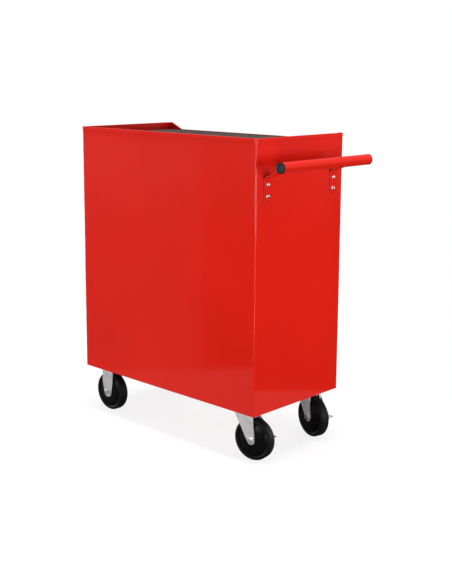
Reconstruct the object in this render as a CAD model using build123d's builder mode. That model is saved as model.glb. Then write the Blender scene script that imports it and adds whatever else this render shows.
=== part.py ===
from build123d import *
from math import cos, radians, sin
import os

# Rolling tool chest: a folded sheet-steel cabinet with six drawers on ball
# slides, a matted top tray, a tube push handle on one end, and four casters.
#
# Millimetres. +Z up, the origin is on the floor under the middle of the whole
# chest. The drawers open towards -Y and the handle is at the -X end. Unless a
# comment says otherwise, x and y are counted from the middle of the cabinet.

# ---- cabinet ----
body_length = 610.0
body_depth = 315.0
body_top = 764.0
skirt_bottom = 122.0
sheet = 1.0
bend_radius = 2.5
rim_proud = 1.0
rim_width = 4.0
rim_lip = 9.0
rim_corner = 3.5
rim_edge_round = 0.9
front_return = 14.0
front_stiffener = 8.5
panel_gap = 0.2

# ---- tray and mat ----
tray_depth = 21.0
lip_drop = 17.5
lip_shoulder = 12.0
lip_slope = 38.0
mat_thickness = 2.0
mat_margin = 1.5
rail_bottom = 714.0

# ---- base ----
caster_height = 127.0
pan_flange = 20.0
pan_gap = 0.5
kick_top = 150.0
kick_return = 9.0

# ---- handle ----
handle_out = 72.0
handle_below_rim = 60.0
tube_diameter = 25.0
tube_wall = 1.2
handle_overhang = 4.0
cap_flange = 3.0
cap_lip = 0.4
cap_dish_radius = 7.0
cap_dish_depth = 1.0
cap_plug_length = 12.0
bracket_inset = 38.5
bracket_width = 26.0
bracket_thickness = 2.0
bracket_bend_below_rim = 89.0
bracket_bend_radius = 7.0
bracket_end_below_rim = 142.0
screw_rows_below_rim = (104.5, 131.0)
screw_head_radius = 5.0
screw_head_height = 2.7
screw_shoulder_radius = 4.0
screw_shoulder_height = 1.9
screw_flat_radius = 1.5
screw_shank_radius = 2.4
screw_reach = 9.0
recess_length = 6.0
recess_width = 1.5
recess_depth = 1.8

# ---- drawers: from the top down, the height of each front's place ----
drawer_pitches = (70.0, 70.0, 70.0, 70.0, 141.0, 141.0)
front_gap = 3.0
front_width = 576.0
front_fold = 10.0
drawer_bottom_rise = 4.0
drawer_side_drop = 12.0
front_weld = 0.25
tub_width = 557.0
tub_back = 133.5
tub_corner = 1.5
hem_height = 6.0
hem_thickness = 1.5
liner_thickness = 2.0
liner_margin = 0.6

# ---- drawer pulls ----
pull_reach = 16.0
pull_sheet = 1.5
pull_back_height = 18.0
pull_lip_height = 9.0
pull_round = 3.0
pull_end_inset = 4.0
pull_below_top = 1.0

# ---- slides ----
slide_sheet = 1.2
slide_length = 280.0
slide_start = -146.0
slide_height = 35.0
slide_rise = 27.0
slide_side = 291.0
outer_arm = 9.0
runner_height = 30.4
runner_arm = 8.5
slide_bend = 1.5

# ---- slide posts ----
post_depth = 12.0
post_width = 25.0
post_fronts = (-140.0, 100.0)
post_bottom = 138.0
post_top = 735.0

# ---- lock ----
lock_x = 276.0
lock_z = 728.0
barrel_radius = 8.0
barrel_flange_radius = 10.5
barrel_flange = 3.0
barrel_back = -147.0
plug_radius = 5.5
plug_proud = 0.6
plug_tail = 1.0
running_gap = 0.05
key_slot_width = 1.2
key_slot_height = 7.0
key_slot_depth = 5.0
cam_radius = 12.0
cam_half_width = 4.0
cam_thickness = 1.5
cam_pin_radius = 2.0
cam_pin_length = 3.6
cam_rest_angle = 45.0
bar_x = 296.0
bar_thickness = 1.5
bar_front = -152.0
bar_back = -142.0
bar_bottom = 165.0
bar_head_left = 279.5
bar_head_half_height = 5.0
bar_slot_half_height = 2.6
bar_slot_length = 9.5
hook_reach = 4.5
hook_height = 12.0

# ---- casters ----
wheel_radius = 51.0
tyre_half_width = 13.0
tread_half_width = 7.5
hub_radius = 40.0
hub_half_width = 14.5
hub_boss_radius = 13.0
hub_rim_half_width = 8.5
hub_dome = 12.6
hub_dome_radius = 27.0
hub_edge = 1.0
hub_edge_drop = 1.5
tyre_groove = 2.0
tyre_groove_rise = 1.8
tyre_shoulder_in = 1.7
tyre_shoulder_drop = 2.2
tyre_side_start = 4.5
axle_radius = 5.0
axle_head_radius = 6.6
hexagon_chamfer = 0.6
axle_head_height = 4.0
axle_nut_height = 5.0
axle_thread_end = 1.5
fork_half_gap = 15.0
fork_sheet = 2.5
swivel_foot_radius = 10.5
fixed_foot_radius = 14.0
plate_length = 90.0
plate_width = 70.0
plate_thickness = 2.5
plate_corner = 8.0
bolt_spread_x = 72.0
bolt_spread_y = 52.0
bolt_radius = 4.0
bolt_head_radius = 6.9
bolt_head_height = 4.5
bolt_thread_end = 9.0
nut_height = 5.5
swivel_inset_x = 60.0
swivel_inset_y = 42.0
swivel_trail = 24.0
fixed_inset_x = 53.0
fixed_inset_y = 47.0
swivel_leg_front = 23.0
swivel_leg_back = 28.0
fixed_leg_half = 20.0
fixed_leg_straight = 46.0
crown_bottom = 113.0
crown_thickness = 3.0
race_top = 124.1
race_bottom_radius = 25.0
race_top_radius = 20.0
kingpin_radius = 5.0
kingpin_head_radius = 9.0
kingpin_head_bottom = 109.0
kingpin_head_gap = 0.3
leg_bend = 5.0
yaw_back_caster = 8.0
yaw_front_caster = -14.0

# ---- brake pedals: places from the axle, +x the way the wheel rolls, z up ----
pedal_sheet = 2.0
pedal_pivot_x = 6.0
pedal_pivot_z = 55.5
pedal_pivot_radius = 3.0
pedal_eye_radius = 6.0
pedal_end_x = -37.0
pedal_end_z = 5.0
pedal_end_radius = 5.0
pedal_foot_out = 10.0
pedal_arm_gap = 0.4
pedal_shoe_length = 11.0
pedal_shoe_tip_radius = 1.5
pedal_shoe_half_width = 7.0

# ---- worked out from the sizes above ----
wheel_z = wheel_radius
half_length = body_length / 2
half_depth = body_depth / 2
panel_x = half_length - rim_proud
panel_y = half_depth - rim_proud
wall_x = half_length - rim_width
wall_y = half_depth - rim_width
tray_floor = body_top - tray_depth
lip_z = body_top - lip_drop
handle_x = -half_length - handle_out
handle_z = body_top - handle_below_rim
tube_radius = tube_diameter / 2
tube_end = half_depth + handle_overhang - cap_flange
bracket_y = half_depth - bracket_inset
front_face = -half_depth
tub_front = front_face + front_fold
tub_depth = tub_back - tub_front
opening_half = panel_x - front_return
body_x = (handle_out + tube_radius) / 2
body_y = (pull_reach - handle_overhang) / 2
# Edges are told apart by length and place to within this.
edge_slack = 0.1

os.makedirs("parts", exist_ok=True)


def level(z):
    """A horizontal plane at height z over the middle of the cabinet."""
    return Plane(origin=(body_x, body_y, z))


def upright(y):
    """A plane facing the front at depth y, with x to the right and z up."""
    return Plane(origin=(body_x, body_y + y, 0), x_dir=(1, 0, 0), z_dir=(0, -1, 0))


def sideways(x):
    """A plane across the length at x, with y to the right and z up."""
    return Plane(origin=(body_x + x, body_y, 0), x_dir=(0, 1, 0), z_dir=(1, 0, 0))


# ---- body wrap: both ends and the back in one bent sheet ----
def wrap_line():
    """The sheet's middle line, from one front stiffener round the back to the other."""
    middle = sheet / 2
    half = (
        (opening_half + middle, -panel_y + front_stiffener),
        (opening_half + middle, -panel_y + middle),
        (panel_x - middle, -panel_y + middle),
        (panel_x - middle, panel_y - middle),
    )
    return half + tuple((-x, y) for x, y in reversed(half))


with BuildPart() as body_wrap:
    with BuildSketch(level(skirt_bottom)):
        with BuildLine():
            FilletPolyline(*wrap_line(), radius=bend_radius - sheet / 2)
        trace(line_width=sheet)
    extrude(amount=body_top - sheet - panel_gap - skirt_bottom)
    # The front returns stop under the front rail.
    with BuildSketch(level(rail_bottom)):
        for side in (-1, 1):
            with Locations((side * (opening_half + panel_x - 2 * sheet) / 2, -panel_y)):
                Rectangle(front_return, 2 * (front_stiffener + sheet))
    extrude(amount=body_top - rail_bottom, mode=Mode.SUBTRACT)
    # Clearance holes for the handle screws.
    with BuildSketch(sideways(-half_length)):
        for below in screw_rows_below_rim:
            with Locations((-bracket_y, body_top - below), (bracket_y, body_top - below)):
                Circle(screw_shank_radius + running_gap)
    extrude(amount=3 * sheet, mode=Mode.SUBTRACT)
body_wrap.part.label = "body_wrap"
export_step(body_wrap.part, "parts/body_wrap.step")

# ---- base pan: the floor that the casters bolt to, and the kick rail ----
with BuildPart() as base_pan:
    pan_x = panel_x - sheet
    pan_back = panel_y - sheet - bend_radius
    pan_front = -panel_y + front_stiffener + pan_gap
    kick_half = opening_half - pan_gap
    with BuildSketch(level(caster_height)):
        with Locations((0, (pan_front + pan_back) / 2)):
            Rectangle(2 * pan_x, pan_back - pan_front)
        with Locations((0, (pan_front - panel_y) / 2)):
            Rectangle(2 * kick_half, pan_front + panel_y)
    extrude(amount=sheet)
    with BuildSketch(level(caster_height)):
        with Locations((0, pan_back - sheet / 2)):
            Rectangle(2 * pan_x, sheet)
        with Locations(*[(s * (pan_x - sheet / 2), (pan_front + pan_back) / 2) for s in (-1, 1)]):
            Rectangle(sheet, pan_back - pan_front)
    extrude(amount=pan_flange)
    with BuildSketch(sideways(-kick_half)):
        with BuildLine():
            FilletPolyline(
                (-panel_y + sheet / 2, skirt_bottom),
                (-panel_y + sheet / 2, kick_top - sheet / 2),
                (-panel_y + kick_return, kick_top - sheet / 2),
                radius=bend_radius - sheet / 2,
            )
        trace(line_width=sheet)
    extrude(amount=2 * kick_half)
    # Bolt holes for the four caster plates.
    with BuildSketch(level(caster_height)):
        for x, y in (
            (-half_length + swivel_inset_x, half_depth - swivel_inset_y),
            (-half_length + swivel_inset_x, -half_depth + swivel_inset_y),
            (half_length - fixed_inset_x, half_depth - fixed_inset_y),
            (half_length - fixed_inset_x, -half_depth + fixed_inset_y),
        ):
            with Locations((x, y)):
                with GridLocations(bolt_spread_x, bolt_spread_y, 2, 2):
                    Circle(bolt_radius + running_gap)
    extrude(amount=sheet, mode=Mode.SUBTRACT)
base_pan.part.label = "base_pan"
export_step(base_pan.part, "parts/base_pan.step")


# ---- top tray ----
def lip_line(drop):
    """The top edge of the low front lip, from corner to corner."""
    outer = half_length - lip_shoulder
    inner = outer - lip_slope
    return (
        (-outer, body_top - drop),
        (-inner, lip_z - drop),
        (inner, lip_z - drop),
        (outer, body_top - drop),
    )


with BuildPart() as top_tray:
    # The rolled rim stands on the wrap's top edge and turns down outside it.
    with BuildSketch(level(body_top - rim_lip)):
        RectangleRounded(body_length, body_depth, rim_corner)
    extrude(amount=rim_lip)
    fillet(top_tray.faces().sort_by(Axis.Z)[-1].edges(), rim_edge_round)
    with BuildSketch(level(body_top - rim_lip)):
        RectangleRounded(2 * panel_x, 2 * panel_y, bend_radius - sheet)
    extrude(amount=rim_lip - sheet, mode=Mode.SUBTRACT)
    # The tray itself hangs inside the rim.
    with BuildSketch(level(tray_floor - sheet)):
        RectangleRounded(2 * wall_x + 2 * sheet, 2 * wall_y + 2 * sheet, bend_radius)
    extrude(amount=body_top - sheet - tray_floor + sheet)
    with BuildSketch(level(tray_floor)):
        RectangleRounded(2 * wall_x, 2 * wall_y, bend_radius - sheet)
    extrude(amount=tray_depth, mode=Mode.SUBTRACT)
    # The front is low between its two shoulders.
    with BuildSketch(upright(-half_depth + 2 * rim_width)):
        with BuildLine():
            shoulder = lip_line(sheet + panel_gap)
            above = body_top + sheet
            Polyline(*shoulder, (shoulder[3][0], above), (shoulder[0][0], above), close=True)
        make_face()
    extrude(amount=3 * rim_width, mode=Mode.SUBTRACT)
top_tray.part.label = "top_tray"
export_step(top_tray.part, "parts/top_tray.step")

with BuildPart() as tray_mat:
    with BuildSketch(level(tray_floor)):
        RectangleRounded(2 * (wall_x - mat_margin), 2 * (wall_y - mat_margin), bend_radius)
    extrude(amount=mat_thickness)
tray_mat.part.label = "tray_mat"
export_step(tray_mat.part, "parts/tray_mat.step")

# ---- front rail: the fascia over the drawers, with the lip's cap ----
with BuildPart() as front_rail:
    rail_half = panel_x - sheet - panel_gap
    with BuildSketch(upright(-panel_y + sheet)):
        with BuildLine():
            edge = lip_line(sheet)
            Polyline(
                (-rail_half, rail_bottom),
                (-rail_half, body_top - sheet - panel_gap),
                (edge[0][0], body_top - sheet - panel_gap),
                *edge[1:3],
                (edge[3][0], body_top - sheet - panel_gap),
                (rail_half, body_top - sheet - panel_gap),
                (rail_half, rail_bottom),
                close=True,
            )
        make_face()
        with Locations((lock_x, lock_z)):
            Circle(barrel_radius + running_gap, mode=Mode.SUBTRACT)
    extrude(amount=sheet)
    with BuildSketch(upright(-wall_y)):
        with BuildLine():
            cap = lip_line(sheet / 2)
            step_down = sheet * lip_drop / lip_slope
            Polyline(
                (cap[0][0] + sheet, cap[0][1] - step_down),
                *cap[1:3],
                (cap[3][0] - sheet, cap[3][1] - step_down),
            )
        trace(line_width=sheet)
    extrude(amount=panel_y - wall_y)
front_rail.part.label = "front_rail"
export_step(front_rail.part, "parts/front_rail.step")

# ---- push handle ----
handle_axis_plane = Plane(
    origin=(body_x + handle_x, body_y - tube_end, handle_z), x_dir=(1, 0, 0), z_dir=(0, 1, 0)
)
with BuildPart() as handle_tube:
    with BuildSketch(handle_axis_plane):
        Circle(tube_radius)
        Circle(tube_radius - tube_wall, mode=Mode.SUBTRACT)
    extrude(amount=2 * tube_end)
handle_tube.part.label = "handle_tube"
export_step(handle_tube.part, "parts/handle_tube.step")

# Each cap is turned about the tube's axis: a flange with a dished middle and
# a plug that is pushed into the tube. r is the radius, t the place along y.
with BuildPart() as handle_end_caps:
    for way in (-1, 1):
        cap_plane = Plane(origin=(body_x + handle_x, body_y, handle_z), x_dir=(0, way, 0), z_dir=(1, 0, 0))
        with BuildSketch(cap_plane):
            with BuildLine():
                outer_face = tube_end + cap_flange
                cap_radius = tube_radius + cap_lip
                Polyline(
                    (outer_face - cap_dish_depth, 0),
                    (tube_end - cap_plug_length, 0),
                    (tube_end - cap_plug_length, tube_radius - tube_wall),
                    (tube_end, tube_radius - tube_wall),
                    (tube_end, cap_radius),
                    (outer_face - cap_dish_depth, cap_radius),
                )
                ThreePointArc(
                    (outer_face - cap_dish_depth, cap_radius),
                    (outer_face, (cap_radius + cap_dish_radius) / 2),
                    (outer_face - cap_dish_depth, cap_dish_radius),
                )
                Line((outer_face - cap_dish_depth, cap_dish_radius), (outer_face - cap_dish_depth, 0))
            make_face()
        revolve(axis=Axis((body_x + handle_x, body_y, handle_z), (0, 1, 0)))
handle_end_caps.part.label = "handle_end_caps"
export_step(handle_end_caps.part, "parts/handle_end_caps.step")

# A bracket is a strap: flat on the panel, bent out and up towards the tube's
# axis, and welded to the near side of the tube.
strap_x = -panel_x - bracket_thickness / 2
with BuildPart() as handle_brackets:
    for strap_y in (-bracket_y + bracket_width / 2, bracket_y + bracket_width / 2):
        with BuildSketch(upright(strap_y)):
            with BuildLine():
                FilletPolyline(
                    (strap_x, body_top - bracket_end_below_rim),
                    (strap_x, body_top - bracket_bend_below_rim),
                    (handle_x, handle_z),
                    radius=bracket_bend_radius,
                )
            trace(line_width=bracket_thickness)
        extrude(amount=bracket_width)
    with BuildSketch(sideways(-panel_x - 2 * bracket_thickness)):
        for below in screw_rows_below_rim:
            with Locations((-bracket_y, body_top - below), (bracket_y, body_top - below)):
                Circle(screw_shank_radius + running_gap)
    extrude(amount=2 * bracket_thickness, mode=Mode.SUBTRACT)
    # The strap ends on the tube's wall.
    with BuildSketch(handle_axis_plane):
        Circle(tube_radius)
    extrude(amount=2 * tube_end, mode=Mode.SUBTRACT)
handle_brackets.part.label = "handle_brackets"
export_step(handle_brackets.part, "parts/handle_brackets.step")

# Pan-head machine screws with a cross recess.
with BuildPart() as handle_screws:
    head_face = -panel_x - bracket_thickness
    for below in screw_rows_below_rim:
        for screw_y in (-bracket_y, bracket_y):
            screw_z = body_top - below
            screw_line = Axis((body_x, body_y + screw_y, screw_z), (1, 0, 0))
            with BuildSketch(Plane(origin=screw_line.position, x_dir=(1, 0, 0), z_dir=(0, -1, 0))):
                with BuildLine():
                    Polyline(
                        (head_face - screw_head_height, 0),
                        (head_face + screw_reach, 0),
                        (head_face + screw_reach, screw_shank_radius),
                        (head_face, screw_shank_radius),
                        (head_face, screw_head_radius),
                    )
                    ThreePointArc(
                        (head_face, screw_head_radius),
                        (head_face - screw_shoulder_height, screw_shoulder_radius),
                        (head_face - screw_head_height, screw_flat_radius),
                    )
                    Line(
                        (head_face - screw_head_height, screw_flat_radius),
                        (head_face - screw_head_height, 0),
                    )
                make_face()
            revolve(axis=screw_line)
    with BuildSketch(sideways(head_face - screw_head_height)):
        for below in screw_rows_below_rim:
            with Locations((-bracket_y, body_top - below), (bracket_y, body_top - below)):
                Rectangle(recess_length, recess_width)
                Rectangle(recess_width, recess_length)
    extrude(amount=recess_depth, mode=Mode.SUBTRACT)
handle_screws.part.label = "handle_screws"
export_step(handle_screws.part, "parts/handle_screws.step")


# ---- drawers: bottom of each front, and height of its slide ----
def drawer_rows():
    """(number, bottom of the front, height of the front) from the top down."""
    rows = []
    top = rail_bottom
    for number, pitch in enumerate(drawer_pitches, start=1):
        rows.append((number, top - pitch + front_gap / 2, pitch - front_gap))
        top -= pitch
    return rows


# ---- slide posts and the fixed slide members ----
with BuildPart() as slide_posts:
    with BuildSketch(level(post_bottom)):
        for side in (-1, 1):
            wall = side * (panel_x - 2 * sheet - running_gap)
            web = side * (panel_x - sheet - post_depth + sheet / 2)
            for post_front in post_fronts:
                with BuildLine():
                    FilletPolyline(
                        (wall, post_front + sheet / 2),
                        (web, post_front + sheet / 2),
                        (web, post_front + post_width - sheet / 2),
                        (wall, post_front + post_width - sheet / 2),
                        radius=bend_radius - sheet / 2,
                    )
                trace(line_width=sheet)
    extrude(amount=post_top - post_bottom)
slide_posts.part.label = "slide_posts"
export_step(slide_posts.part, "parts/slide_posts.step")


def channel_line(web, arm_end, middle_z, height):
    """The middle line of a slide member's section, open towards arm_end."""
    half = height / 2 - slide_sheet / 2
    return (
        (arm_end, middle_z + half),
        (web, middle_z + half),
        (web, middle_z - half),
        (arm_end, middle_z - half),
    )


with BuildPart() as cabinet_slides:
    with BuildSketch(upright(slide_start + slide_length)):
        for side in (-1, 1):
            for number, bottom, height in drawer_rows():
                web = side * (slide_side - slide_sheet / 2)
                arm_end = side * (slide_side - outer_arm)
                with BuildLine():
                    FilletPolyline(
                        *channel_line(web, arm_end, bottom + drawer_bottom_rise + slide_rise, slide_height),
                        radius=slide_bend,
                    )
                trace(line_width=slide_sheet)
    extrude(amount=slide_length)
cabinet_slides.part.label = "cabinet_slides"
export_step(cabinet_slides.part, "parts/cabinet_slides.step")

for number, bottom, height in drawer_rows():
    floor = bottom + drawer_bottom_rise
    side_top = bottom + height - drawer_side_drop

    # The drawer is a folded tub behind a folded front.
    with BuildPart() as drawer_box:
        with BuildSketch(level(floor)):
            with Locations((0, (tub_front + tub_back) / 2)):
                RectangleRounded(tub_width, tub_depth, tub_corner)
        extrude(amount=side_top - floor)
        with BuildSketch(level(floor + sheet)):
            with Locations((0, (tub_front + tub_back) / 2)):
                RectangleRounded(tub_width - 2 * sheet, tub_depth - 2 * sheet, tub_corner - sheet / 2)
        extrude(amount=side_top - floor - sheet - hem_height, mode=Mode.SUBTRACT)
        hem = 2 * (sheet + hem_thickness)
        with BuildSketch(level(side_top - hem_height)):
            with Locations((0, (tub_front + tub_back) / 2)):
                Rectangle(tub_width - hem, tub_depth - hem)
        extrude(amount=hem_height, mode=Mode.SUBTRACT)
        with BuildSketch(upright(tub_front)):
            with Locations((0, bottom + height / 2)):
                RectangleRounded(front_width, height, bend_radius)
        extrude(amount=front_fold)
        front_edges = drawer_box.faces().sort_by(Axis.Y)[0].edges()
        fillet(front_edges, sheet)
        with BuildSketch(upright(tub_front + front_weld)):
            with Locations((0, bottom + height / 2)):
                RectangleRounded(front_width - 2 * sheet, height - 2 * sheet, bend_radius - sheet)
            with Locations((0, (floor + side_top) / 2)):
                Rectangle(tub_width, side_top - floor, mode=Mode.SUBTRACT)
        extrude(amount=front_fold - sheet + front_weld, mode=Mode.SUBTRACT)
        # The hollow behind the front, closed off by the tub's front wall.
        with BuildSketch(upright(tub_front - front_weld)):
            with Locations((0, (floor + side_top) / 2)):
                Rectangle(tub_width - 2 * sheet, side_top - floor - 2 * sheet)
        extrude(amount=front_fold - sheet - front_weld, mode=Mode.SUBTRACT)
    drawer_box.part.label = f"drawer_{number}_box"
    export_step(drawer_box.part, f"parts/drawer_{number}_box.step")

    with BuildPart() as drawer_liner:
        with BuildSketch(level(floor + sheet)):
            with Locations((0, (tub_front + tub_back) / 2)):
                Rectangle(tub_width - 2 * (sheet + liner_margin), tub_depth - 2 * (sheet + liner_margin))
        extrude(amount=liner_thickness)
    drawer_liner.part.label = f"drawer_{number}_liner"
    export_step(drawer_liner.part, f"parts/drawer_{number}_liner.step")

    # The pull is a hooked extrusion along the top edge of the front.
    with BuildPart() as drawer_pull:
        pull_top = bottom + height - pull_below_top
        with BuildSketch(sideways(-front_width / 2 + pull_end_inset)):
            with BuildLine():
                FilletPolyline(
                    (front_face - pull_sheet / 2, pull_top - pull_back_height),
                    (front_face - pull_sheet / 2, pull_top - pull_sheet / 2),
                    (front_face - pull_reach + pull_sheet / 2, pull_top - pull_sheet / 2),
                    (front_face - pull_reach + pull_sheet / 2, pull_top - pull_lip_height),
                    radius=pull_round,
                )
            trace(line_width=pull_sheet)
        extrude(amount=front_width - 2 * pull_end_inset)
    drawer_pull.part.label = f"drawer_{number}_pull"
    export_step(drawer_pull.part, f"parts/drawer_{number}_pull.step")

    # The moving slide members, one on each side of the tub.
    with BuildPart() as drawer_runners:
        with BuildSketch(upright(tub_front + sheet + slide_length)):
            for side in (-1, 1):
                web = side * (tub_width / 2 + slide_sheet / 2)
                arm_end = side * (tub_width / 2 + runner_arm)
                with BuildLine():
                    FilletPolyline(
                        *channel_line(web, arm_end, floor + slide_rise, runner_height),
                        radius=slide_bend,
                    )
                trace(line_width=slide_sheet)
        extrude(amount=slide_length)
    drawer_runners.part.label = f"drawer_{number}_runners"
    export_step(drawer_runners.part, f"parts/drawer_{number}_runners.step")

# ---- lock: a cam lock that slides a bar down the front post ----
lock_front = Plane(
    origin=(body_x + lock_x, body_y - panel_y, lock_z), x_dir=(1, 0, 0), z_dir=(0, -1, 0)
)
with BuildPart() as lock_barrel:
    with BuildSketch(lock_front):
        Circle(barrel_flange_radius)
    extrude(amount=barrel_flange)
    fillet(lock_barrel.faces().sort_by(Axis.Y)[0].edges(), sheet)
    with BuildSketch(lock_front):
        Circle(barrel_radius)
    extrude(amount=-(panel_y + barrel_back))
    with BuildSketch(lock_front.offset(barrel_flange)):
        Circle(plug_radius + running_gap)
    extrude(amount=-(barrel_flange + panel_y + barrel_back), mode=Mode.SUBTRACT)
lock_barrel.part.label = "lock_barrel"
export_step(lock_barrel.part, "parts/lock_barrel.step")

with BuildPart() as lock_plug:
    with BuildSketch(lock_front.offset(barrel_flange + plug_proud)):
        Circle(plug_radius)
    extrude(amount=-(barrel_flange + plug_proud + panel_y + barrel_back + plug_tail))
    with BuildSketch(lock_front.offset(barrel_flange + plug_proud)):
        SlotOverall(key_slot_height, key_slot_width, rotation=90)
    extrude(amount=-key_slot_depth, mode=Mode.SUBTRACT)
lock_plug.part.label = "lock_plug"
export_step(lock_plug.part, "parts/lock_plug.step")

# The cam swings a pin from cam_rest_angle above to the same below level.
cam_back = lock_front.offset(-(panel_y + barrel_back + plug_tail))
pin_spot = (cam_radius * cos(radians(cam_rest_angle)), cam_radius * sin(radians(cam_rest_angle)))
with BuildPart() as lock_cam:
    with BuildSketch(cam_back):
        Circle(plug_radius)
        with Locations(pin_spot):
            Circle(cam_half_width)
        make_hull()
    extrude(amount=-cam_thickness)
    with BuildSketch(cam_back.offset(-cam_thickness)):
        with Locations(pin_spot):
            Circle(cam_pin_radius)
    extrude(amount=-cam_pin_length)
lock_cam.part.label = "lock_cam"
export_step(lock_cam.part, "parts/lock_cam.step")

with BuildPart() as lock_bar:
    bar_top = lock_z + pin_spot[1] + bar_head_half_height
    with BuildSketch(level(bar_bottom)):
        with Locations((bar_x + bar_thickness / 2, (bar_front + bar_back) / 2)):
            Rectangle(bar_thickness, bar_back - bar_front)
    extrude(amount=bar_top - bar_bottom)
    with BuildSketch(upright(bar_back)):
        with Locations(((bar_head_left + bar_x) / 2, lock_z + pin_spot[1])):
            Rectangle(bar_x - bar_head_left, 2 * bar_head_half_height)
        for number, bottom, height in drawer_rows():
            with Locations((bar_x - hook_reach / 2, bottom + drawer_bottom_rise + slide_rise)):
                Rectangle(hook_reach, hook_height)
    extrude(amount=bar_thickness)
    with BuildSketch(upright(bar_back + bar_thickness)):
        with Locations((lock_x + (pin_spot[0] + cam_radius) / 2, lock_z + pin_spot[1])):
            SlotOverall(bar_slot_length, 2 * bar_slot_half_height)
    extrude(amount=3 * bar_thickness, mode=Mode.SUBTRACT)
lock_bar.part.label = "lock_bar"
export_step(lock_bar.part, "parts/lock_bar.step")


# ---- casters ----
# Each caster has its own frame: the origin is on the floor under the bolt
# plate's middle, x' is the way the wheel rolls and y' is the wheel's axle.
def caster_level(x, y, yaw, z):
    turn = radians(yaw)
    return Plane(origin=(body_x + x, body_y + y, z), x_dir=(cos(turn), sin(turn), 0), z_dir=(0, 0, 1))


def caster_side(x, y, yaw, across):
    """An upright plane along the wheel, moved by across towards y'."""
    turn = radians(yaw)
    start = (body_x + x - across * sin(turn), body_y + y + across * cos(turn), 0)
    return Plane(origin=start, x_dir=(cos(turn), sin(turn), 0), z_dir=(sin(turn), -cos(turn), 0))


def axle_section(x, y, yaw, trail):
    """An upright plane through the axle, with y' to the right, and the axle's line."""
    turn = radians(yaw)
    centre = (body_x + x - trail * cos(turn), body_y + y - trail * sin(turn), wheel_z)
    along = (-sin(turn), cos(turn), 0)
    return Plane(origin=centre, x_dir=along, z_dir=(cos(turn), sin(turn), 0)), Axis(centre, along)


swivel_x = -half_length + swivel_inset_x
swivel_y = half_depth - swivel_inset_y
fixed_x = half_length - fixed_inset_x
fixed_y = half_depth - fixed_inset_y
casters = {
    "swivel_back": (swivel_x, swivel_y, yaw_back_caster, swivel_trail),
    "swivel_front": (swivel_x, -swivel_y, yaw_front_caster, swivel_trail),
    "fixed_back": (fixed_x, fixed_y, 0.0, 0.0),
    "fixed_front": (fixed_x, -fixed_y, 0.0, 0.0),
}
plate_bottom = caster_height - plate_thickness
fork_outside = fork_half_gap + fork_sheet


def bolt_grid(x, y):
    """The middles of the four bolts of the plate at x, y."""
    return [
        (x + sx * bolt_spread_x / 2, y + sy * bolt_spread_y / 2) for sx in (-1, 1) for sy in (-1, 1)
    ]


all_bolts = [spot for x, y, yaw, trail in casters.values() for spot in bolt_grid(x, y)]

with BuildPart() as caster_fasteners:
    with BuildSketch(level(plate_bottom - bolt_head_height)):
        with Locations(*all_bolts):
            RegularPolygon(bolt_head_radius, 6)
    extrude(amount=bolt_head_height)
    with BuildSketch(level(plate_bottom)):
        with Locations(*all_bolts):
            Circle(bolt_radius)
    extrude(amount=bolt_thread_end + plate_thickness)
    with BuildSketch(level(caster_height + sheet)):
        with Locations(*all_bolts):
            RegularPolygon(bolt_head_radius, 6)
            Circle(bolt_radius + running_gap, mode=Mode.SUBTRACT)
    extrude(amount=nut_height, mode=Mode.ADD)
caster_fasteners.part.label = "caster_fasteners"
export_step(caster_fasteners.part, "parts/caster_fasteners.step")


def bolt_plate(x, y):
    """The outline of one drilled bolt plate."""
    with BuildSketch(level(plate_bottom)) as plate:
        with Locations((x, y)):
            RectangleRounded(plate_length, plate_width, plate_corner)
        with Locations(*bolt_grid(x, y)):
            Circle(bolt_radius + running_gap, mode=Mode.SUBTRACT)
    return plate.sketch


# Fixed casters: plate and legs are one pressing.
with BuildPart() as fixed_caster_forks:
    for name in ("fixed_back", "fixed_front"):
        x, y, yaw, trail = casters[name]
        extrude(bolt_plate(x, y), amount=plate_thickness)
        for across in (fork_outside, -fork_half_gap):
            with BuildSketch(caster_side(x, y, yaw, across)):
                with Locations((0, plate_bottom - fixed_leg_straight / 2)):
                    Rectangle(2 * fixed_leg_half, fixed_leg_straight)
                with Locations((0, wheel_z)):
                    Circle(fixed_foot_radius)
                make_hull()
                with Locations((0, wheel_z)):
                    Circle(axle_radius + running_gap, mode=Mode.SUBTRACT)
            extrude(amount=fork_sheet)
    bends = fixed_caster_forks.edges().filter_by(Axis.X).group_by(Axis.Z)[-2]
    leg_bends = [e for e in bends if abs(e.length - 2 * fixed_leg_half) < edge_slack]
    outer_bends = [
        e
        for e in leg_bends
        if abs(abs(abs(e.center().Y - body_y) - fixed_y) - fork_outside) < edge_slack
    ]
    fillet(outer_bends, leg_bend)
fixed_caster_forks.part.label = "fixed_caster_forks"
export_step(fixed_caster_forks.part, "parts/fixed_caster_forks.step")


def axle_bolt(x, y, yaw, trail):
    """An axle: a pin across the fork with a hexagon head and a nut."""
    section, line = axle_section(x, y, yaw, trail)
    head_face = Plane(
        origin=section.origin - line.direction * (fork_outside + axle_head_height), z_dir=line.direction
    )
    with BuildPart() as axle:
        with BuildSketch(head_face):
            RegularPolygon(axle_head_radius, 6)
        extrude(amount=axle_head_height)
        with BuildSketch(head_face.offset(axle_head_height)):
            Circle(axle_radius)
        extrude(amount=2 * fork_outside + axle_nut_height + axle_thread_end)
        with BuildSketch(head_face.offset(axle_head_height + 2 * fork_outside)):
            RegularPolygon(axle_head_radius, 6)
        extrude(amount=axle_nut_height)
        # Both hexagons have their corners turned down.
        corners = axle.edges().filter_by(GeomType.LINE)
        rims = corners.filter_by(lambda e: abs(e.length - axle_head_radius) < edge_slack)
        chamfer(rims.group_by(Axis(line.position, line.direction))[0], hexagon_chamfer)
        chamfer(rims.group_by(Axis(line.position, line.direction))[-1], hexagon_chamfer)
    return axle.part


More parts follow.
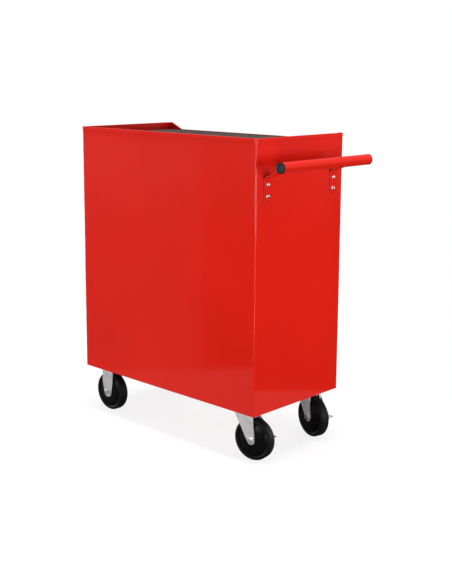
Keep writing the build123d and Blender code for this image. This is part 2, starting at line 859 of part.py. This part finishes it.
with BuildPart() as fixed_caster_axles:
    for name in ("fixed_back", "fixed_front"):
        add(axle_bolt(*casters[name]))
fixed_caster_axles.part.label = "fixed_caster_axles"
export_step(fixed_caster_axles.part, "parts/fixed_caster_axles.step")

with BuildPart() as swivel_caster_plates:
    for name in ("swivel_back", "swivel_front"):
        x, y, yaw, trail = casters[name]
        extrude(bolt_plate(x, y), amount=plate_thickness)
    with BuildSketch(level(plate_bottom)):
        with Locations((swivel_x, swivel_y), (swivel_x, -swivel_y)):
            Circle(kingpin_radius + running_gap)
    extrude(amount=plate_thickness, mode=Mode.SUBTRACT)
swivel_caster_plates.part.label = "swivel_caster_plates"
export_step(swivel_caster_plates.part, "parts/swivel_caster_plates.step")

with BuildPart() as kingpins:
    with BuildSketch(level(kingpin_head_bottom)):
        with Locations((swivel_x, swivel_y), (swivel_x, -swivel_y)):
            Circle(kingpin_head_radius)
    extrude(amount=crown_bottom - kingpin_head_bottom - kingpin_head_gap)
    with BuildSketch(level(kingpin_head_bottom)):
        with Locations((swivel_x, swivel_y), (swivel_x, -swivel_y)):
            Circle(kingpin_radius)
    extrude(amount=caster_height - kingpin_head_bottom)
kingpins.part.label = "kingpins"
export_step(kingpins.part, "parts/kingpins.step")

for name in ("swivel_back", "swivel_front"):
    x, y, yaw, trail = casters[name]

    # The yoke: a crown under the ball race, with two raked legs.
    crown_length = swivel_leg_front + swivel_leg_back
    crown_middle = (swivel_leg_front - swivel_leg_back) / 2
    with BuildPart() as swivel_fork:
        with BuildSketch(caster_level(x, y, yaw, crown_bottom)):
            with Locations((crown_middle, 0)):
                RectangleRounded(crown_length, 2 * fork_outside, fork_sheet)
            Circle(race_bottom_radius)
        extrude(amount=crown_thickness)
        for across in (fork_outside, -fork_half_gap):
            with BuildSketch(caster_side(x, y, yaw, across)):
                with Locations((crown_middle, crown_bottom + crown_thickness / 2)):
                    Rectangle(crown_length, crown_thickness)
                with Locations((-trail, wheel_z)):
                    Circle(swivel_foot_radius)
                make_hull()
                with Locations((-trail, wheel_z)):
                    Circle(axle_radius + running_gap, mode=Mode.SUBTRACT)
                with Locations((-trail + pedal_pivot_x, wheel_z + pedal_pivot_z)):
                    Circle(pedal_pivot_radius + running_gap, mode=Mode.SUBTRACT)
            extrude(amount=fork_sheet)
        race_base = crown_bottom + crown_thickness
        with BuildSketch(level(race_base)):
            with Locations((x, y)):
                Circle(race_bottom_radius)
        with BuildSketch(level(race_top)):
            with Locations((x, y)):
                Circle(race_top_radius)
        loft()
        with BuildSketch(level(crown_bottom)):
            with Locations((x, y)):
                Circle(kingpin_radius + running_gap)
        extrude(amount=race_top - crown_bottom, mode=Mode.SUBTRACT)
    swivel_fork.part.label = f"{name}_fork"
    export_step(swivel_fork.part, f"parts/{name}_fork.step")

    with BuildPart() as swivel_axle:
        add(axle_bolt(x, y, yaw, trail))
    swivel_axle.part.label = f"{name}_axle"
    export_step(swivel_axle.part, f"parts/{name}_axle.step")

    # The brake pedal: an arm outside the front leg with a foot tab folded out,
    # on a pin through both legs that carries a shoe over the tread.
    with BuildPart() as brake_pedal:
        arm_inside = -fork_outside - pedal_arm_gap
        pivot = (-trail + pedal_pivot_x, wheel_z + pedal_pivot_z)
        arm_end = (-trail + pedal_end_x, wheel_z + pedal_end_z)
        with BuildSketch(caster_side(x, y, yaw, arm_inside)):
            with Locations(pivot):
                Circle(pedal_eye_radius)
            with Locations(arm_end):
                Circle(pedal_end_radius)
            make_hull()
        extrude(amount=pedal_sheet)
        with BuildSketch(caster_side(x, y, yaw, arm_inside)):
            with Locations(arm_end):
                Rectangle(2 * pedal_end_radius, pedal_sheet)
        extrude(amount=pedal_foot_out + pedal_sheet)
        with BuildSketch(caster_side(x, y, yaw, fork_outside)):
            with Locations(pivot):
                Circle(pedal_pivot_radius)
        extrude(amount=fork_outside - arm_inside)
        with BuildSketch(caster_side(x, y, yaw, pedal_shoe_half_width)):
            with Locations(pivot):
                Circle(pedal_pivot_radius)
            with Locations((pivot[0] - pedal_shoe_length, pivot[1])):
                Circle(pedal_shoe_tip_radius)
            make_hull()
        extrude(amount=2 * pedal_shoe_half_width)
    brake_pedal.part.label = f"{name}_brake_pedal"
    export_step(brake_pedal.part, f"parts/{name}_brake_pedal.step")

for name, (x, y, yaw, trail) in casters.items():
    section, line = axle_section(x, y, yaw, trail)

    # Half sections, with the axle along x and the radius along y.
    with BuildPart() as wheel_hub:
        with BuildSketch(section):
            for side in (-1, 1):
                with BuildLine():
                    edge = side * (hub_rim_half_width + hub_edge)
                    Polyline(
                        (side * hub_half_width, hub_boss_radius),
                        (side * hub_half_width, axle_radius + running_gap),
                        (0, axle_radius + running_gap),
                        (0, hub_radius),
                        (side * hub_rim_half_width, hub_radius),
                        (edge, hub_radius - hub_edge_drop),
                    )
                    ThreePointArc(
                        (edge, hub_radius - hub_edge_drop),
                        (side * hub_dome, hub_dome_radius),
                        (side * hub_half_width, hub_boss_radius),
                    )
                make_face()
        revolve(axis=line)
    wheel_hub.part.label = f"{name}_wheel_hub"
    export_step(wheel_hub.part, f"parts/{name}_wheel_hub.step")

    with BuildPart() as tyre:
        with BuildSketch(section):
            for side in (-1, 1):
                with BuildLine():
                    side_start = (side * tyre_half_width, hub_radius + tyre_side_start)
                    tread_edge = (side * tread_half_width, wheel_radius)
                    Polyline(
                        side_start,
                        (side * (tyre_half_width - tyre_groove), hub_radius + tyre_groove_rise),
                        (side * hub_rim_half_width, hub_radius),
                        (0, hub_radius),
                        (0, wheel_radius),
                        tread_edge,
                    )
                    ThreePointArc(
                        tread_edge,
                        (side * (tyre_half_width - tyre_shoulder_in), wheel_radius - tyre_shoulder_drop),
                        side_start,
                    )
                make_face()
        revolve(axis=line)
    tyre.part.label = f"{name}_tyre"
    export_step(tyre.part, f"parts/{name}_tyre.step")
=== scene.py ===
from math import cos, pi, radians, sin

import bmesh
import bpy
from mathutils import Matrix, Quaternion, Vector


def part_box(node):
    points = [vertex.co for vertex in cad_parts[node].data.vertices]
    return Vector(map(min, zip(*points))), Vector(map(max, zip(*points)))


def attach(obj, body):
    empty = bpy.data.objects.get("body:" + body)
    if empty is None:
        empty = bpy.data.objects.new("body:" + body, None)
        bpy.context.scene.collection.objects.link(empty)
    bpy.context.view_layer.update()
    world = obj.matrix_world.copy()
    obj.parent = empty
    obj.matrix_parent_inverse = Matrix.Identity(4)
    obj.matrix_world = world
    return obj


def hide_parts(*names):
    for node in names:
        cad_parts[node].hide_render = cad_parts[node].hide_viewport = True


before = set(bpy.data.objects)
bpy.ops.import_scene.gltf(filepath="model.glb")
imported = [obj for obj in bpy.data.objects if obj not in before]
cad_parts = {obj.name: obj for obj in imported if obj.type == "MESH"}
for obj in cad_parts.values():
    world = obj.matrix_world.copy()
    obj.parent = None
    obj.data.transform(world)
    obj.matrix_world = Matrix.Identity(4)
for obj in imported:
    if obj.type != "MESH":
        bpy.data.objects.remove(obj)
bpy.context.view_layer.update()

# A red rolling tool chest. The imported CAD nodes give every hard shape; this
# script gives them their finishes, makes the ribbed rubber mats, and sets up
# the floor, the lights and the camera. Metres and radians.

# ---- camera: turned about the middle of the cabinet's body ----
camera_azimuth = radians(223.49)
camera_elevation = radians(10.057)
camera_distance = 2.617
camera_roll = radians(0.34)
camera_lens = 62.94
camera_shift = -0.077
aim_right = 0.0470
aim_up = 0.0211

# ---- floor and light ----
floor_half_width = 0.68
floor_half_length = 1.3
floor_white = 0.27
floor_off_white = 0.25
floor_glow = 0.80

# ---- sky: the dome is dark up to the first height and full from the second ----
dome_dark_until = 0.42
dome_full_from = 0.50
dome_dark = (0.02, 0.02, 0.02)
dome_full = (0.31, 0.31, 0.32)

# ---- lights: distances and heights in metres, powers in watts ----
side_distance = 2.6
side_size = (1.7, 0.9)
edge_distance = 3.4
haze_turn = radians(-104)
haze_distance = 3.5
haze_width = 2.4

# ---- painted shade in folds and seams: how far it reaches, and how dark it gets ----
fold_reach = 0.035
fold_shade = 0.35
plate_seam_reach = 0.0035
plate_seam_shade = 0.175
open_from = 0.85
closed_below = 0.35

# ---- rubber mats ----
rib_pitch = 0.0058
rib_height = 0.0008
rib_crown_share = 0.55
rib_steps = 4


# ---- material helpers ----
class Finish:
    """A material with one Principled shader and the textures that feed it."""

    def __init__(self, name, **uniform):
        self.material = bpy.data.materials.new(name)
        self.material.use_nodes = True
        self.tree = self.material.node_tree
        self.shader = self.tree.nodes["Principled BSDF"]
        self.place = self.tree.nodes.new("ShaderNodeTexCoord").outputs["Object"]
        self.normal = None
        for key, value in uniform.items():
            self.shader.inputs[key.replace("_", " ")].default_value = value

    def node(self, kind, links=None, **settings):
        made = self.tree.nodes.new(kind)
        for key, value in settings.items():
            setattr(made, key, value)
        for socket, source in (links or {}).items():
            if hasattr(source, "is_output"):
                self.tree.links.new(source, made.inputs[socket])
            else:
                made.inputs[socket].default_value = source
        return made

    def stretched(self, scale):
        """The object coordinates, stretched by a factor on each axis."""
        return self.node("ShaderNodeMapping", {"Vector": self.place, "Scale": scale}).outputs["Vector"]

    def noise(self, scale, detail=2.0, rough=0.5, place=None):
        links = {"Vector": place or self.place, "Scale": scale, "Detail": detail, "Roughness": rough}
        return self.node("ShaderNodeTexNoise", links).outputs["Fac"]

    def cells(self, scale):
        links = {"Vector": self.place, "Scale": scale}
        return self.node("ShaderNodeTexVoronoi", links, feature="F1").outputs["Distance"]

    def spread(self, source, low, high, start=0.3, end=0.7):
        """source between start and end becomes low to high."""
        links = {"Value": source, "From Min": start, "From Max": end, "To Min": low, "To Max": high}
        return self.node("ShaderNodeMapRange", links).outputs["Result"]

    def colours(self, source, *stops):
        """A colour ramp over source: each stop is (place, (r, g, b))."""
        ramp = self.node("ShaderNodeValToRGB", {"Fac": source})
        elements = ramp.color_ramp.elements
        while len(elements) < len(stops):
            elements.new(0.5)
        for element, (spot, colour) in zip(elements, stops):
            element.position = spot
            element.color = (*colour, 1.0)
        return ramp.outputs["Color"]

    def bump(self, height, distance):
        """Adds relief of that real height, in metres, over what is there."""
        links = {"Height": height, "Distance": distance, "Strength": 1.0}
        if self.normal:
            links["Normal"] = self.normal
        self.normal = self.node("ShaderNodeBump", links).outputs["Normal"]

    def painted_fold_shade(self, colour, reach, shade, alone):
        """Painted shade: the colour, down to that share of it where surfaces close in within reach.

        Alone means that only the piece's own surfaces count, and not its neighbours'.
        """
        links = {"Distance": reach}
        folds = self.node("ShaderNodeAmbientOcclusion", links, samples=8, only_local=alone)
        share = self.spread(folds.outputs["AO"], low=shade, high=1.0, start=closed_below, end=open_from)
        scaled = self.node("ShaderNodeVectorMath", {0: colour, 3: share}, operation="SCALE")
        return scaled.outputs["Vector"]

    def done(self, colour, roughness):
        self.tree.links.new(colour, self.shader.inputs["Base Color"])
        self.tree.links.new(roughness, self.shader.inputs["Roughness"])
        if self.normal:
            self.tree.links.new(self.normal, self.shader.inputs["Normal"])
        return self.material


# ---- finishes ----
def red_paint(name, alone):
    """Gloss powder coat: orange peel, a slightly wavy sheet and faint clouds."""
    finish = Finish(name, Specular_IOR_Level=0.38)
    clouds = finish.noise(scale=4.0, detail=3.0)
    paint = finish.colours(clouds, (0.3, (0.76, 0.0155, 0.0075)), (0.7, (0.82, 0.0175, 0.0085)))
    # Painted shade: the paint is darkened where surfaces close in, such as creases, under the rim and
    # beside the brackets.
    colour = finish.painted_fold_shade(paint, fold_reach, fold_shade, alone)
    roughness = finish.spread(finish.noise(scale=28.0, detail=4.0, rough=0.6), low=0.06, high=0.11)
    waviness = finish.noise(scale=5.0, detail=1.0)
    finish.bump(waviness, distance=0.00016)
    orange_peel = finish.noise(scale=520.0, detail=1.5)
    finish.bump(orange_peel, distance=0.000012)
    return finish.done(colour, roughness)


def zinc_plate(name, smoothest, roughest):
    """Bright zinc plate: cloudy, with faint yellow and blue casts and fine scratches."""
    finish = Finish(name, Metallic=1.0)
    clouds = finish.noise(scale=90.0, detail=4.0, rough=0.6)
    bluish = (0.80, 0.81, 0.84)
    plain = (0.88, 0.885, 0.89)
    yellowish = (0.90, 0.885, 0.84)
    plate = finish.colours(clouds, (0.3, bluish), (0.5, plain), (0.72, yellowish))
    # Painted shade: the plate is darkened in its own recesses, such as the screw slots.
    colour = finish.painted_fold_shade(plate, plate_seam_reach, plate_seam_shade, alone=True)
    upright = finish.stretched((1.0, 1.0, 0.12))
    scratches = finish.noise(scale=700.0, detail=3.0, rough=0.7, place=upright)
    roughness = finish.spread(finish.noise(scale=90.0, detail=3.0), low=smoothest, high=roughest)
    finish.bump(scratches, distance=0.00001)
    rolled_waves = finish.noise(scale=34.0, detail=1.0)
    finish.bump(rolled_waves, distance=0.00003)
    return finish.done(colour, roughness)


def brushed_aluminium():
    """Anodised aluminium, brushed along the length of the pull."""
    finish = Finish("brushed_aluminium", Metallic=1.0)
    lengthwise = finish.stretched((0.012, 1.0, 1.0))
    grain = finish.noise(scale=1500.0, detail=4.0, rough=0.7, place=lengthwise)
    colour = finish.colours(grain, (0.35, (0.64, 0.645, 0.655)), (0.65, (0.80, 0.805, 0.815)))
    roughness = finish.spread(grain, low=0.26, high=0.42)
    finish.bump(grain, distance=0.000008)
    return finish.done(colour, roughness)


def mat_rubber():
    """Dark grey mat rubber with a pebbled skin and a little dust."""
    finish = Finish("mat_rubber", Specular_IOR_Level=0.35)
    dust = finish.noise(scale=14.0, detail=5.0, rough=0.65)
    colour = finish.colours(dust, (0.3, (0.045, 0.038, 0.033)), (0.75, (0.076, 0.065, 0.055)))
    roughness = finish.spread(finish.noise(scale=60.0, detail=3.0), low=0.62, high=0.85)
    pebbles = finish.cells(scale=900.0)
    finish.bump(pebbles, distance=0.00012)
    return finish.done(colour, roughness)


def cap_plastic():
    """Black moulded plastic with a fine leather-like grain."""
    finish = Finish("cap_plastic", Specular_IOR_Level=0.20)
    clouds = finish.noise(scale=40.0, detail=3.0)
    colour = finish.colours(clouds, (0.3, (0.007, 0.006, 0.009)), (0.7, (0.014, 0.012, 0.017)))
    roughness = finish.spread(finish.noise(scale=160.0, detail=3.0), low=0.34, high=0.50)
    grain = finish.cells(scale=1400.0)
    finish.bump(grain, distance=0.00003)
    return finish.done(colour, roughness)


def wheel_plastic():
    """Black moulded polyolefin: almost smooth, with flow clouds and rolling dust."""
    finish = Finish("wheel_plastic", Specular_IOR_Level=0.11)
    dust = finish.noise(scale=26.0, detail=4.0, rough=0.6)
    colour = finish.colours(dust, (0.3, (0.0025, 0.0025, 0.0028)), (0.75, (0.006, 0.0058, 0.0056)))
    roughness = finish.spread(finish.noise(scale=70.0, detail=4.0, rough=0.6), low=0.16, high=0.28)
    finish.bump(finish.noise(scale=900.0, detail=2.0), distance=0.000015)
    return finish.done(colour, roughness)


def tyre_rubber():
    """Hard black tread, a little duller and dustier than the hub."""
    finish = Finish("tyre_rubber", Specular_IOR_Level=0.14)
    dust = finish.noise(scale=30.0, detail=5.0, rough=0.65)
    colour = finish.colours(dust, (0.3, (0.0035, 0.0035, 0.0038)), (0.78, (0.009, 0.0088, 0.0084)))
    roughness = finish.spread(finish.noise(scale=110.0, detail=4.0, rough=0.6), low=0.42, high=0.62)
    finish.bump(finish.noise(scale=1100.0, detail=3.0), distance=0.00003)
    return finish.done(colour, roughness)


def plated_lock():
    """Bright nickel plate with hairlines from keys."""
    finish = Finish("nickel_plate", Metallic=1.0)
    upright = finish.stretched((1.0, 1.0, 0.05))
    hairlines = finish.noise(scale=2200.0, detail=3.0, rough=0.7, place=upright)
    clouds = finish.noise(scale=120.0, detail=2.0)
    colour = finish.colours(clouds, (0.3, (0.66, 0.655, 0.64)), (0.7, (0.78, 0.775, 0.76)))
    roughness = finish.spread(hairlines, low=0.10, high=0.24)
    finish.bump(hairlines, distance=0.000004)
    return finish.done(colour, roughness)


finishes = {
    "red_paint": red_paint("red_powder_coat", alone=False),
    "zinc_steel": zinc_plate("zinc_plated_steel", smoothest=0.34, roughest=0.46),
    "aluminium": brushed_aluminium(),
    "mat_rubber": mat_rubber(),
    "black_cap": cap_plastic(),
    "black_wheel": wheel_plastic(),
    "black_tyre": tyre_rubber(),
    "plated_lock": plated_lock(),
}
# Fasteners and pins are plated brighter than the pressed forks and slides.
turned_zinc = zinc_plate("bright_zinc_plate", smoothest=0.08, roughest=0.16)
turned_ends = ("_axle", "_axles", "_screws", "_fasteners", "kingpins")
# A drawer's paint takes painted shade from its own folds only, so that the painted shade is the same
# open or shut.
drawer_paint = red_paint("red_drawer_powder_coat", alone=True)
drawer_tub_end = "_box"
for name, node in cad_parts.items():
    for slot in node.material_slots:
        if name.endswith(turned_ends):
            slot.material = turned_zinc
        elif name.endswith(drawer_tub_end):
            slot.material = drawer_paint
        else:
            slot.material = finishes[slot.material.name]


# ---- rubber mats ----
def ribbed_mat(node_name, body):
    """A mat with rounded ribs along its length, in the space of its CAD solid."""
    low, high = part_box(node_name)
    width = high.y - low.y
    ribs = round(width / rib_pitch)
    pitch = width / ribs
    valley = high.z - rib_height
    outline = [(low.y, low.z)]
    for rib in range(ribs):
        start = low.y + rib * pitch + pitch * (1 - rib_crown_share) / 2
        for step in range(rib_steps + 1):
            share = step / rib_steps
            rise = sin(pi * share) ** 0.5
            outline.append((start + share * pitch * rib_crown_share, valley + rib_height * rise))
    outline.append((high.y, low.z))

    mesh = bmesh.new()
    near = [mesh.verts.new((low.x, y, z)) for y, z in outline]
    far = [mesh.verts.new((high.x, y, z)) for y, z in outline]
    mesh.faces.new(near)
    mesh.faces.new(list(reversed(far)))
    for here, there in enumerate([*range(1, len(outline)), 0]):
        mesh.faces.new((near[here], far[here], far[there], near[there]))
    bmesh.ops.recalc_face_normals(mesh, faces=mesh.faces)
    data = bpy.data.meshes.new(f"ribbed_{node_name}")
    mesh.to_mesh(data)
    mesh.free()
    mat = bpy.data.objects.new(f"ribbed_{node_name}", data)
    bpy.context.scene.collection.objects.link(mat)
    data.materials.append(finishes["mat_rubber"])
    data.shade_smooth()
    data.set_sharp_from_angle(angle=radians(50))
    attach(mat, body)
    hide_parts(node_name)


ribbed_mat("tray_mat", "cabinet")
for number in range(1, 7):
    ribbed_mat(f"drawer_{number}_liner", f"drawer_{number}")


# ---- camera ----
panel_low, panel_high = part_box("body_wrap")
tray_low, tray_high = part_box("top_tray")
body_middle = Vector((*((tray_low + tray_high) / 2).xy, (panel_low.z + tray_high.z) / 2))
back = Vector((
    sin(camera_azimuth) * cos(camera_elevation),
    -cos(camera_azimuth) * cos(camera_elevation),
    sin(camera_elevation),
))
right = Vector((cos(camera_azimuth), sin(camera_azimuth), 0.0))
aim = body_middle + aim_right * right + aim_up * back.cross(right)
camera_data = bpy.data.cameras.new("camera")
camera_data.lens = camera_lens
camera_data.shift_y = camera_shift
camera = bpy.data.objects.new("camera", camera_data)
camera.location = aim + camera_distance * back
facing = back.to_track_quat("Z", "Y")
camera.rotation_mode = "QUATERNION"
camera.rotation_quaternion = facing @ Quaternion((0, 0, 1), camera_roll)
bpy.context.scene.collection.objects.link(camera)
bpy.context.scene.camera = camera


# ---- floor ----
def pale_floor():
    """Studio paper under the chest: it looks white, and throws little light up at the paint."""
    finish = Finish("studio_paper", Specular_IOR_Level=0.1, Emission_Color=(1, 1, 1, 1))
    clouds = finish.noise(scale=3.0, detail=3.0)
    shade = finish.colours(clouds, (0.3, (floor_off_white,) * 3), (0.7, (floor_white,) * 3))
    tooth = finish.noise(scale=800.0, detail=2.0)
    finish.bump(tooth, distance=0.00002)
    seen = finish.node("ShaderNodeLightPath").outputs["Is Camera Ray"]
    glow = finish.node("ShaderNodeMath", {0: seen, 1: floor_glow}, operation="MULTIPLY").outputs["Value"]
    finish.tree.links.new(glow, finish.shader.inputs["Emission Strength"])
    material = finish.done(shade, finish.spread(finish.noise(scale=40.0), low=0.75, high=0.9))
    along = Vector((-back.x, -back.y, 0)).normalized() * floor_half_length
    aside = right.normalized() * floor_half_width
    middle = Vector((body_middle.x, body_middle.y, 0))
    corners = [middle + s * along + t * aside for s, t in ((-1, -1), (-1, 1), (1, 1), (1, -1))]
    data = bpy.data.meshes.new("floor")
    data.from_pydata(corners, [], [(0, 1, 2, 3)])
    data.materials.append(material)
    floor = bpy.data.objects.new("floor", data)
    bpy.context.scene.collection.objects.link(floor)


pale_floor()


# ---- light ----
def softbox(name, azimuth, distance, height, size, power, lean=0.0):
    """A rectangular area light at that height, facing the chest, tilted down by lean."""
    data = bpy.data.lights.new(name, "AREA")
    data.shape = "RECTANGLE"
    data.size, data.size_y = size
    data.energy = power
    light = bpy.data.objects.new(name, data)
    outward = Vector((sin(azimuth), -cos(azimuth), 0.0))
    away = cos(lean) * outward + sin(lean) * Vector((0, 0, 1))
    light.location = Vector((*body_middle.xy, height)) + distance * outward
    light.rotation_mode = "QUATERNION"
    light.rotation_quaternion = away.to_track_quat("Z", "Y")
    bpy.context.scene.collection.objects.link(light)


# One large light overhead, and a card beside each face of the chest.
softbox("top_softbox", camera_azimuth, 0.3, height=3.6, size=(1.5, 1.0), power=86.0, lean=radians(90))
for turn, height, power in ((-122, 0.42, 26.0), (-58, 0.62, 24.5), (58, 0.56, 27.0), (122, 0.42, 26.0)):
    softbox(f"side_card_{turn}", camera_azimuth + radians(turn), side_distance, height, side_size, power)
# Narrow low cards, which draw the bright lines along the upright edges.
softbox("near_card", camera_azimuth, edge_distance, height=-0.22, size=(0.5, 1.34), power=31.0)
softbox("far_card", camera_azimuth + pi, edge_distance, height=-0.05, size=(0.5, 0.8), power=18.0)
# Two faint cards, which lay a soft haze over the left and the top of the back.
for height, reach, power in ((0.0, 0.9, 0.95), (-0.45, 1.9, 2.0)):
    place = camera_azimuth + haze_turn
    softbox(f"haze_card_{reach}", place, haze_distance, height, (haze_width, reach), power)


def pale_world():
    """White behind the chest, and a soft dome that is dimmer below the horizon."""
    world = bpy.data.worlds.new("studio")
    bpy.context.scene.world = world
    world.use_nodes = True
    tree = world.node_tree
    dome = tree.nodes["Background"]
    backdrop = tree.nodes.new("ShaderNodeBackground")
    backdrop.inputs["Color"].default_value = (1, 1, 1, 1)
    ways = tree.nodes.new("ShaderNodeTexCoord")
    split = tree.nodes.new("ShaderNodeSeparateXYZ")
    ramp = tree.nodes.new("ShaderNodeValToRGB")
    height = tree.nodes.new("ShaderNodeMapRange")
    height.inputs["From Min"].default_value = -1
    tree.links.new(ways.outputs["Generated"], split.inputs["Vector"])
    tree.links.new(split.outputs["Z"], height.inputs["Value"])
    tree.links.new(height.outputs["Result"], ramp.inputs["Fac"])
    low, high = ramp.color_ramp.elements
    low.position = dome_dark_until
    low.color = (*dome_dark, 1)
    high.position = dome_full_from
    high.color = (*dome_full, 1)
    tree.links.new(ramp.outputs["Color"], dome.inputs["Color"])
    rays = tree.nodes.new("ShaderNodeLightPath")
    mix = tree.nodes.new("ShaderNodeMixShader")
    tree.links.new(rays.outputs["Is Camera Ray"], mix.inputs["Fac"])
    tree.links.new(dome.outputs["Background"], mix.inputs[1])
    tree.links.new(backdrop.outputs["Background"], mix.inputs[2])
    tree.links.new(mix.outputs["Shader"], tree.nodes["World Output"].inputs["Surface"])


pale_world()
bpy.context.scene.view_settings.view_transform = "Standard"
